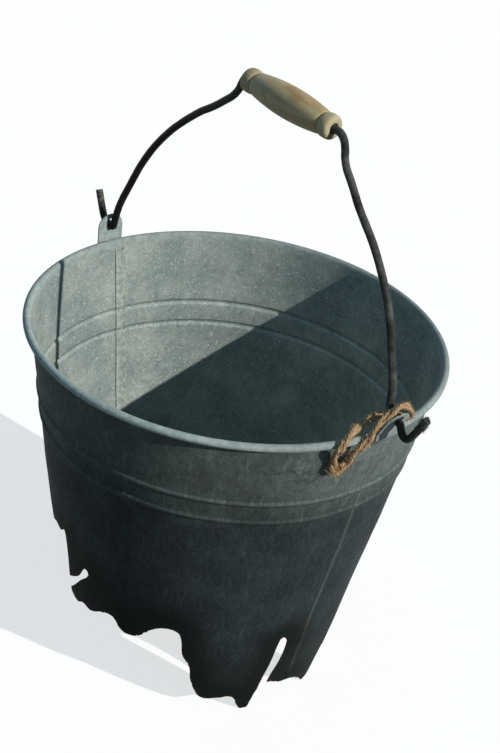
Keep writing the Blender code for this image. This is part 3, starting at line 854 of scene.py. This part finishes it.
def torn_line():
    """The ragged edge as (azimuth in radians, height), smoothed, with a little tooth of its own."""
    route = [Vector((math.radians(a) * MEAN_RADIUS, h * MM, 0)) for a, h in TORN_EDGE]
    round_once = Vector((math.tau * MEAN_RADIUS, 0, 0))
    loop = [route[-1] - round_once] + route + [route[0] + round_once]
    line = []
    for point in smooth_line(loop, 5)[5:-5]:
        tooth = TOOTH_DEPTH * noise.noise(Vector((point.x * TOOTH_SCALE, point.y * TOOTH_SCALE, 3.1)))
        azimuth = point.x / MEAN_RADIUS
        if line:
            azimuth = max(azimuth, line[-1][0] + LEAST_TURN)
        line.append((azimuth, max(0.0, point.y + tooth) if point.y > LEVEL else 0.0))
    return line


TORN_LINE = torn_line()
print("torn edge points:", len(TORN_LINE))


# %% Wall profile
ROLL_STEPS = 20
ROW_STEP = 5 * MM
COLUMN_STEP = math.radians(1.25)
GROUND_MARGIN = 4 * MM


def straight_rows(top, bottom):
    """(radius, height) down the straight wall, in even steps."""
    steps = max(1, round((top - bottom) / ROW_STEP))
    heights = [top + (bottom - top) * step / steps for step in range(1, steps + 1)]
    return [(wall_radius(height), height) for height in heights]


def wall_profile():
    """(radius, height) from the roll's free end down to just below the ground, and the seam's first row."""
    touch = math.pi - WALL_LEAN
    profile = []
    for step in range(ROLL_STEPS + 1):
        angle = ROLL_END + (touch - ROLL_END) * step / ROLL_STEPS
        height = RIM_HEIGHT + ROLL_RADIUS * math.sin(angle)
        profile.append((RIM_RADIUS + ROLL_RADIUS * math.cos(angle), height))
    blend_top = RIM_HEIGHT - SEAM_DROP + SEAM_BLEND
    profile += straight_rows(profile[-1][1], blend_top)
    first_seam_row = len(profile)
    level = blend_top - SEAM_BLEND
    profile.append((wall_radius(level), level))
    for drop in BEAD_DROPS:
        profile += straight_rows(level, RIM_HEIGHT - drop + BEAD_HALF_WIDTH)
        for step in range(1, 13):
            share = -1 + step / 6
            height = RIM_HEIGHT - drop - share * BEAD_HALF_WIDTH
            rise = BEAD_RISE * (0.5 + 0.5 * math.cos(math.pi * share))
            profile.append((wall_radius(height) + rise, height))
        level = RIM_HEIGHT - drop - BEAD_HALF_WIDTH
    return profile + straight_rows(level, -GROUND_MARGIN), first_seam_row


# %% Folds at the seams
FIRST_COLUMN = math.radians(2.5)
LAST_COLUMN = math.radians(4)
STEADY_BAND = 30 * MM
WAVE_FADE = 40 * MM
LONG_WAVE = (16, 0.9 * MM)
SHORT_WAVE = (45, 0.25 * MM)


def base_fold():
    """The fold of the outer sheet at a seam, as (along, inward)."""
    points = [(0, 0), (-SEAM_FOLD, 0)]
    for step in range(1, 7):
        angle = math.pi * step / 6
        points.append((-SEAM_FOLD - LAYER * math.sin(angle), LAYER * (1 - math.cos(angle))))
    points.append((SEAM_LAP - SEAM_HOOK_END, 2 * LAYER))
    return points


def lap_fold(ramp):
    """The fold that laps over it on the inside, as (along, inward)."""
    ramp_top = -SEAM_FOLD - LAYER - SHEET - SHEET_GAP
    points = [(ramp_top - ramp, 0), (ramp_top, 3 * LAYER), (-SEAM_FOLD - SHEET_GAP, 3 * LAYER)]
    for step in range(7):
        angle = math.pi * step / 6
        points.append((SEAM_LAP + LAYER * math.sin(angle), LAYER * (2 + math.cos(angle))))
    points.append((SEAM_HOOK_END - SEAM_FOLD, LAYER))
    return points


def waves(place):
    """How far the sheet bows at a place: long shallow waves, none near the rim and the ears."""
    fade = min(1.0, max(0.0, (RIM_HEIGHT - STEADY_BAND - place.z) / WAVE_FADE))
    long = noise.noise(place * LONG_WAVE[0])
    short = noise.noise(place * SHORT_WAVE[0] + Vector((7, 3, 1)))
    return fade * (LONG_WAVE[1] * long + SHORT_WAVE[1] * short)


def half_wall(name, turn, end):
    profile, first_seam_row = wall_profile()
    base = base_fold()
    lap = lap_fold(SEAM_RAMPS[name])
    columns = [(0, along, inward, index > 1) for index, (along, inward) in enumerate(base)][::-1]
    angles = np.arange(FIRST_COLUMN, end - turn - LAST_COLUMN, COLUMN_STEP)
    columns += [(angle, 0, 0, False) for angle in angles]
    columns += [(end - turn, along, inward, index > 2) for index, (along, inward) in enumerate(lap)]
    bm = bmesh.new()
    grid = []
    for row, (radius, height) in enumerate(profile):
        line = []
        for azimuth, along, inward, folded in columns:
            if folded and row < first_seam_row:
                line.append(None)
                continue
            offset = inward if row >= first_seam_row else 0
            angle = turn + azimuth + along / radius
            outward = Vector((math.cos(angle), math.sin(angle), 0))
            place = outward * radius + Vector((0, 0, height))
            place += outward * (waves(place) - offset)
            line.append(bm.verts.new(place))
        grid.append(line)
    for upper, lower in zip(grid, grid[1:]):
        for left in range(len(columns) - 1):
            corners = (lower[left], lower[left + 1], upper[left + 1], upper[left])
            if None not in corners:
                bm.faces.new(corners)
    wall = built(name + "_sheet", bm)
    thickness = wall.modifiers.new("thickness", "SOLIDIFY")
    thickness.thickness = SHEET
    thickness.offset = 0
    thickness.use_even_offset = True
    return wall


# %% Cutters for the tear
def tear_ring():
    """A ring through the whole wall, with the ragged edge as its top."""
    inner, outer, below = 65 * MM, 190 * MM, -30 * MM
    bm = bmesh.new()
    rings = []
    for azimuth, height in TORN_LINE:
        rings.append([
            bm.verts.new((radius * math.cos(azimuth), radius * math.sin(azimuth), z))
            for radius, z in ((inner, height), (outer, height), (outer, below), (inner, below))
        ])
    for ring, following in zip(rings, rings[1:] + rings[:1]):
        for corner in range(4):
            other = (corner + 1) % 4
            bm.faces.new((ring[corner], ring[other], following[other], following[corner]))
    bmesh.ops.triangulate(bm, faces=bm.faces)
    return built("torn_away", bm)


def outline_block(name, azimuth, outline):
    """A prism through the wall at an azimuth, with the outline smoothed where it isn't at the ground."""
    reach = wall_radius(60 * MM)
    stand = Matrix(((0, 0, 1, reach), (1, 0, 0, 0), (0, 1, 0, 0), (0, 0, 0, 1)))
    place = Matrix.Rotation(azimuth, 4, "Z") @ stand
    points = smooth_line([(x * MM, y * MM, 0) for x, y in outline], 4)
    bm = bmesh.new()
    near = [bm.verts.new(place @ Vector((p.x, p.y, -0.03))) for p in points]
    far = [bm.verts.new(place @ Vector((p.x, p.y, 0.03))) for p in points]
    for index in range(len(points)):
        other = (index + 1) % len(points)
        bm.faces.new((near[index], near[other], far[other], far[index]))
    bm.faces.new(near)
    bm.faces.new(far)
    bmesh.ops.triangulate(bm, faces=bm.faces)
    return built(name, bm)


def cut(obj, cutter):
    modifier = obj.modifiers.new(cutter.name, "BOOLEAN")
    modifier.operation = "DIFFERENCE"
    modifier.solver = "EXACT"
    modifier.object = cutter


# %% Nearness to the tear
def torn_segments():
    """The torn edges as segments in (along, height), with along = azimuth times the mean radius."""
    segments = []
    ends = [(a * MEAN_RADIUS, h) for a, h in TORN_LINE]
    around = math.tau * MEAN_RADIUS
    for shift in (-around, 0, around):
        segments += [((a[0] + shift, a[1]), (b[0] + shift, b[1])) for a, b in zip(ends, ends[1:])]
    for azimuth, outline in ((NOTCH_AZIMUTH, NOTCH), (SLIT_AZIMUTH, SLIT)):
        places = [(azimuth * MEAN_RADIUS + x * MM, y * MM) for x, y in outline]
        segments += list(zip(places, places[1:]))
    return np.array(segments)


def write_points(mesh, name, values):
    """One number at each point of a mesh, for the finish to read."""
    mesh.attributes.new(name, "FLOAT", "POINT").data.foreach_set("value", values.astype(np.float32))


def mark_nearness(mesh):
    """Writes how near each point is to the tear and to the lines of the side seams, from 0 to 1."""
    co = np.zeros(len(mesh.vertices) * 3)
    mesh.vertices.foreach_get("co", co)
    co = co.reshape(-1, 3)
    azimuth = np.arctan2(co[:, 1], co[:, 0])
    flat = np.stack([azimuth * MEAN_RADIUS, co[:, 2]], axis=1)
    best = np.full(len(flat), 1.0)
    for start, end in torn_segments():
        way = end - start
        share = np.clip(((flat - start) @ way) / max(1e-12, way @ way), 0, 1)
        gap = np.linalg.norm(flat - start - share[:, None] * way, axis=1)
        best = np.minimum(best, gap)
    write_points(mesh, "torn_near", np.exp(-best / TORN_REACH))
    past_right, past_left = [(azimuth - turn + math.pi) % math.tau - math.pi for turn in SEAM_TURNS]
    radius = np.hypot(co[:, 0], co[:, 1])
    below = np.clip((RIM_HEIGHT - SEAM_DROP + 2 * MM - co[:, 2]) / (3 * MM), 0, 1)
    off_line = np.abs(past_right * radius + SEAM_LINE)
    write_points(mesh, "seam_line", np.clip(1.5 - off_line / (0.9 * MM), 0, 1) * below)
    # Painted light on the lapped fold's edge, whose step lies in shade.
    off_edge = np.abs(past_left * radius - SEAM_LAP - 0.6 * MM)
    write_points(mesh, "seam_edge_light", SEAM_EDGE_LIGHT_SHARE * np.clip(1.3 - off_edge / (0.7 * MM), 0, 1) * below)
    off_seam = np.minimum(np.abs(past_right), np.abs(past_left))
    shade = np.clip((SEAM_REACH - off_seam) / SEAM_FADE, 0, 1)
    write_points(mesh, "seam_near", shade * (0.35 + 0.65 * below))


# %% Walls
ring = tear_ring()
notch = outline_block("torn_notch", NOTCH_AZIMUTH, NOTCH)
slit = outline_block("torn_slit", SLIT_AZIMUTH, SLIT)
for name, turn, end, cutters in (
    ("back_wall", SEAM_TURNS[0], SEAM_TURNS[1], (ring,)),
    ("front_wall", SEAM_TURNS[1], SEAM_TURNS[0] + math.tau, (ring, notch, slit)),
):
    wall = half_wall(name, turn, end)
    for cutter in cutters:
        cut(wall, cutter)
    wall = plain_mesh(wall, name + "_torn", zinc)
    mark_nearness(wall.data)
    smooth_by_angle(wall.data, 40)
    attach(wall, "bucket")
    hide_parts(name)
    count(wall)
for cutter in (ring, notch, slit):
    bpy.data.objects.remove(cutter)

# %% [markdown]
# ## Ears and rim wire
# The ears are stamped from one plate each and dipped with the bucket, so they wear the same zinc, a little
# paler because hands and the bail rub them. Their CAD solids already have the right shape. A copy of each
# is merged and smoothed, with its eye drawn in to where the wire has bedded itself, and only how pale it is
# differs. The rim wire stays as it is, hidden in the roll.

# %% Ears
EAR_PALENESS = {"left_ear": 0.75, "right_ear": 0.12}
EYE_RADIUS = 4.2 * MM
EYE_CLOSED = 3.15 * MM


def smooth_copy(node_name, name, material):
    """A merged and smoothed copy of a CAD node's mesh."""
    mesh = nodes[node_name].data.copy()
    bm = bmesh.new()
    bm.from_mesh(mesh)
    bmesh.ops.remove_doubles(bm, verts=bm.verts, dist=0.01 * MM)
    for vert in bm.verts:
        off_eye = Vector((0, vert.co.y, vert.co.z - PIVOT_HEIGHT))
        if off_eye.length < 1.06 * EYE_RADIUS:
            vert.co -= off_eye * (1 - EYE_CLOSED / EYE_RADIUS)
    bm.to_mesh(mesh)
    bm.free()
    made = plain_mesh(add_object(name + "_copy", mesh), name, material)
    smooth_by_angle(made.data, 35)
    return made


for name in ("left_ear", "right_ear"):
    ear = smooth_copy(name, name + "_plate", zinc)
    write_points(ear.data, "pale", np.full(len(ear.data.vertices), EAR_PALENESS[name]))
    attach(ear, "bucket")
    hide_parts(name)
    count(ear)
nodes["rim_wire"].data.materials.clear()
nodes["rim_wire"].data.materials.append(zinc)

# %% [markdown]
# ## The bail
# One steel wire, bent by hand, with a hook at each end. The zinc is long gone from it and it is nearly
# black, with dull grey where it was handled and a crust of rust and lint at the right hook's tip. It is a
# tube swept along nearly the same points as the CAD wire, with more sides and small dents, because bent wire
# is never quite round or straight.

# %% Bail line
BAIL_RADIUS = 2.75 * MM
EYE_APPROACH = 3.6 * MM
EYE_DIP = 0.5 * MM
TOP_RISE = 160.2 * MM
GRIP_LENGTH = 87 * MM
GRIP_SHIFT = 2.5 * MM
RIM_OUTER = 153.2 * MM
EAR_REACH = {-1: 154.783 * MM, 1: 159.223 * MM}
LEG = ((-2.8, 6.5), (-5.3, 20), (-12.9, 40), (-21.3, 60), (-33, 80), (-49.2, 100), (-70.7, 120))
RIGHT_SHOULDER = (
    (26.6, -29.2), (18.6, -21), (15.2, -15.2), (13.4, -9.6), (11, -4.8), (7.6, -1.8), (4.5, -0.9),
)
LEFT_SHOULDER = (
    (27.2, -29.7), (16.8, -20.9), (11.2, -15.8), (7.1, -10), (5.3, -4.6), (3.6, -0.7), (0.6, 0.8),
)
RIGHT_HOOK = ((3.0, -0.8), (5.2, -4.2), (8.0, -7.0), (11.4, -7.2), (14.6, -3.6), (19.0, 5.2), (23.0, 13.2))
LEFT_HOOK = ((2.8, 0.5), (5.4, 1.2), (8.2, 2.8), (11.2, 6.6), (14.0, 11.2), (16.8, 16.0), (19.6, 21.0))
bail_place = Matrix.Translation((0, 0, PIVOT_HEIGHT)) @ Matrix.Rotation(-BAIL_TILT, 4, "X")


def side_places(side, hook, shoulder):
    """One side of the bail, from the end of its straight top to the tip of its hook."""
    grip_end = GRIP_LENGTH / 2 + side * GRIP_SHIFT
    reach = EAR_REACH[side]
    places = [(grip_end + x * MM, TOP_RISE + z * MM) for x, z in reversed(shoulder)]
    places += [(RIM_OUTER + x * MM, z * MM) for x, z in reversed(LEG)]
    places += [(reach - EYE_APPROACH, EYE_DIP), (reach, 0)]
    places += [(reach + x * MM, z * MM) for x, z in hook]
    return [bail_place @ Vector((side * x, 0, z)) for x, z in places]


left_side = side_places(-1, LEFT_HOOK, LEFT_SHOULDER)
right_side = side_places(1, RIGHT_HOOK, RIGHT_SHOULDER)
bail_line = smooth_line(left_side[::-1] + right_side, 10)
print("bail wire", round(line_length(bail_line) * 1000), "mm along its line")


# %% Wire finish
HOOK_HEIGHTS = (262 * MM, 305 * MM)
LEFT_LEG_SHADE = (-110 * MM, -20 * MM)
LEFT_TIP = (-169 * MM, -165 * MM)


def wire_finish():
    board = Finish("darkened_wire", 0.06)
    x, y, z = board.split()
    patches = board.noise(60, 4, 0.6)
    pits = board.noise(420, 3, 0.65)
    tip_tone = board.mix(board.span(pits, 0.44, 0.60), (0.060, 0.058, 0.050), (0.260, 0.250, 0.215))
    colour = board.laid((0.026, 0.029, 0.029), (
        (patches, 0.36, 0.62, 0, 1, (0.098, 0.103, 0.098)),
        (pits, 0.50, 0.66, 0, 0.6, (0.020, 0.020, 0.019)),
        (board.noise(95, 4, 0.7), 0.56, 0.70, 0, 0.5, (0.056, 0.050, 0.042)),
        (z, *HOOK_HEIGHTS, 0.94, 0, (0.010, 0.012, 0.012)),
        # Painted shade: the left leg, turned from the sun, is darkened to near black.
        (x, *LEFT_LEG_SHADE, 0.92, 0, (0.009, 0.009, 0.009)),
        (x, *LEFT_TIP, 0.8, 0, tip_tone),
    ))
    board.bump(board.plus(pits, patches), 0.0006, 0.6)
    return board.finish(colour, 0.40)


wire = wire_finish()


# %% Wire and its crust
WIRE_DENTS = (0.10 * MM, 130)
CRUST_DENTS = (1.3 * MM, 260)


def wire_tube(name, line, radius, material, dents, rough):
    """A tube along a line, with round ends and an uneven skin."""
    obj = open_curve(name + "_line", line)
    obj.data.bevel_depth = radius
    obj.data.bevel_resolution = 6
    obj.data.use_fill_caps = True
    made = plain_mesh(obj, name, material)
    bm = bmesh.new()
    bm.from_mesh(made.data)
    bmesh.ops.remove_doubles(bm, verts=bm.verts, dist=0.001 * MM)
    bmesh.ops.recalc_face_normals(bm, faces=bm.faces)
    bm.normal_update()
    for vert in bm.verts:
        depth = noise.noise(vert.co * rough) + 0.5 * noise.noise(vert.co * 3.2 * rough)
        vert.co += vert.normal * dents * depth
    bm.to_mesh(made.data)
    bm.free()
    smooth_by_angle(made.data, 60)
    return made


bail = wire_tube("bail_bent_wire", bail_line, BAIL_RADIUS, wire, *WIRE_DENTS)
crust_line = [bail_line[-1].lerp(bail_line[-12], share) for share in np.linspace(-0.05, 1.0, 22)]
crust_skin = wire_tube("crust_skin", crust_line, BAIL_RADIUS - 0.1 * MM, wire, *CRUST_DENTS)
lint = hair_recipe("lint").run(copy_of(crust_skin, "lint_bed"), "lint", wire)
crust = joined([crust_skin, lint], "bail_hook_crust")
for piece in (bail, crust):
    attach(piece, "bail")
    count(piece)
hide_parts("bail_wire")

# %% [markdown]
# ## The wooden grip
# A short turned handle with a collar at each end, bored for the wire and sawn down one side so that it
# could be pushed over it. Years of hands and rain have turned the belly grey, and left the collars pale.
# The profile is turned round the wire's line with many steps, the saw cut is a Boolean, and the finish
# is grain stretched along the handle with a few stains placed where the wood shows them.

# %% Grip profile
GRIP_CENTRE = Vector((0.0025, 0.0139623, 0.4427904))
GRIP_AXIS = Vector((0.99981571, -0.00167317, -0.01912439))
COLLAR_RADIUS = 8.8 * MM
COLLAR_WIDTH = 9.5 * MM
NECK_RADIUS = 8.0 * MM
BELLY_RADIUS = 11.3 * MM
BORE_RADIUS = BAIL_RADIUS + 0.6 * MM
KERF_WIDTH = 2.4 * MM
KERF_TURN = math.radians(-23)
GRIP_STEPS = 72


def grip_profile():
    """(along, radius) from one end face to the other, with rounded collars."""
    half = GRIP_LENGTH / 2
    inner = half - COLLAR_WIDTH
    side = [(half - 0.2 * MM, BORE_RADIUS), (half, BORE_RADIUS + 0.4 * MM), (half, COLLAR_RADIUS - 2.6 * MM)]
    for step in range(1, 12):
        turn = math.pi / 2 * (step / 6 - 1)
        along = (half + inner) / 2 - (COLLAR_WIDTH / 2) * math.sin(turn)
        side.append((along, COLLAR_RADIUS - 2.3 * MM * (1 - math.cos(turn)) ** 1.4))
    side.append((inner - 0.1 * MM, NECK_RADIUS - 0.35 * MM))
    belly = []
    for step in range(1, 40):
        share = step / 40
        radius = NECK_RADIUS + (BELLY_RADIUS - NECK_RADIUS) * math.sin(math.pi * share) ** 0.8
        belly.append((inner - 2 * inner * share, radius))
    return side + belly + [(-along, radius) for along, radius in reversed(side)]


grip_tilt = Matrix.Rotation(math.radians(1.1), 4, "Y")
grip_place = bail_place @ Matrix.Translation((GRIP_SHIFT, 0, TOP_RISE)) @ grip_tilt
print("grip centre", [round(value, 4) for value in grip_place.translation])


# %% Wood finish
STAINS = (((0.0010, -0.0020, 0.0105), 0.0050), ((0.0105, -0.0052, 0.0092), 0.0062))
SCRATCH_ENDS = Vector((-0.0008, -0.0089, 0.0062)), Vector((-0.0014, 0.0015, 0.0107))


def wood_finish():
    board = Finish("grey_wood", 0.2)
    inward = board.vector_sum("SUBTRACT", board.place, tuple(GRIP_CENTRE))
    grain_place = board.scaled((28, 620, 620), inward)
    grain = board.noise(1.0, 4, 0.6, vector=grain_place, twist=0.4)
    rings = board.noise(1.0, 2, 0.5, vector=board.scaled((9, 170, 170), inward))
    blotch = board.noise(52, 4, 0.6)
    x, y, z = board.split(inward)
    grey = board.mix(board.span(grain, 0.35, 0.65), (0.490, 0.390, 0.250), (0.670, 0.540, 0.345))
    tan = board.mix(board.span(rings, 0.36, 0.64), (0.510, 0.375, 0.200), (0.690, 0.540, 0.300))
    toward_right = board.plus(x, board.swing(blotch, 0.075))
    up_side = board.plus(toward_right, board.times(z, 1.6))
    colour = board.laid(grey, (
        (up_side, -0.018, 0.028, 0, 1, tan),
        # Painted light: the left end, turned from the sun, is made lighter.
        (toward_right, -0.034, -0.008, 0.75, 0, (0.640, 0.525, 0.365)),
        (board.noise(120, 4, 0.65), 0.58, 0.74, 0, 0.45, (0.250, 0.210, 0.145)),
    ))

    # Two rusty stains and a pale scratch on the top
    for spot, size in STAINS:
        near = board.length(board.scaled((0.8, 1.2, 1.0), board.vector_sum("SUBTRACT", inward, spot)))
        worn = board.plus(near, board.swing(blotch, 0.006))
        stain = (worn, 0.1 * size, 1.25 * size, 0.60, 0, (0.360, 0.205, 0.085))
        colour = board.laid(colour, (stain,))
    start, end = SCRATCH_ENDS
    middle, way = (start + end) / 2, (end - start).normalized()
    off = board.vector_sum("SUBTRACT", inward, tuple(middle))
    run = board.dot(off, tuple(way))
    aside = board.length(board.vector_sum("SUBTRACT", off, board.scale_by(tuple(way), run)))
    reach = board.span(board.sum("ABSOLUTE", run), 0.0044, 0.0064, 1.0, 0.0)
    scratch = board.times(board.span(aside, 0.0003, 0.0009, 1.0, 0.0), reach)
    colour = board.mix(board.times(scratch, 0.75), colour, (0.56, 0.50, 0.33))

    # The collars are paler, with a dark line in the groove beside each
    lengthwise = board.dot(inward, tuple(GRIP_AXIS))
    end_ways = board.sum("ABSOLUTE", lengthwise)
    collar_tone = board.mix(board.span(blotch, 0.38, 0.62), (0.470, 0.395, 0.240), (0.640, 0.555, 0.355))
    collar_edge = GRIP_LENGTH / 2 - COLLAR_WIDTH
    colour = board.mix(board.span(end_ways, collar_edge, collar_edge + 0.0008), colour, collar_tone)
    groove = board.near(end_ways, collar_edge, 0.0001, 0.0009, 0.42)
    colour = board.mix(groove, colour, (0.110, 0.095, 0.065))
    # Painted shade: the inside of the bore is darkened to nearly black.
    off_axis = board.length(board.vector_sum(
        "SUBTRACT", inward, board.scale_by(tuple(GRIP_AXIS), lengthwise)
    ))
    bore_shade = board.span(off_axis, BORE_RADIUS + 0.0001, BORE_RADIUS + 0.0012, 0.9, 0.0)
    colour = board.mix(bore_shade, colour, (0.030, 0.026, 0.020))
    board.bump(board.plus(grain, board.times(rings, 0.8)), 0.0005, 0.45)
    return board.finish(colour, 0.72)


# %% Grip
def turned_grip(wood):
    bm = bmesh.new()
    profile = [bm.verts.new((along, 0, radius)) for along, radius in grip_profile()]
    edges = [bm.edges.new((a, b)) for a, b in zip(profile, profile[1:] + profile[:1])]
    bmesh.ops.spin(
        bm, geom=profile + edges, axis=(1, 0, 0), cent=(0, 0, 0), steps=GRIP_STEPS, angle=math.tau,
        use_merge=True,
    )
    bmesh.ops.remove_doubles(bm, verts=bm.verts, dist=0.001 * MM)
    grip = built("grip_turned", bm)
    bm = bmesh.new()
    bmesh.ops.create_cube(bm, size=1)
    deep = 2 * BELLY_RADIUS
    bmesh.ops.scale(bm, verts=bm.verts, vec=(1.2 * GRIP_LENGTH, KERF_WIDTH, deep))
    bmesh.ops.translate(bm, verts=bm.verts, vec=(0, 0, -deep / 2))
    bmesh.ops.rotate(bm, verts=bm.verts, matrix=Matrix.Rotation(KERF_TURN, 3, "X"))
    saw_cut = built("saw_cut", bm, outward=False)
    cut(grip, saw_cut)
    grip.matrix_world = grip_place
    saw_cut.matrix_world = grip_place
    made = plain_mesh(grip, "wood_grip_turned", wood)
    bpy.data.objects.remove(saw_cut)
    smooth_by_angle(made.data, 40)
    return made


wood = wood_finish()
grip = turned_grip(wood)
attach(grip, "grip")
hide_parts("wood_grip")
count(grip)
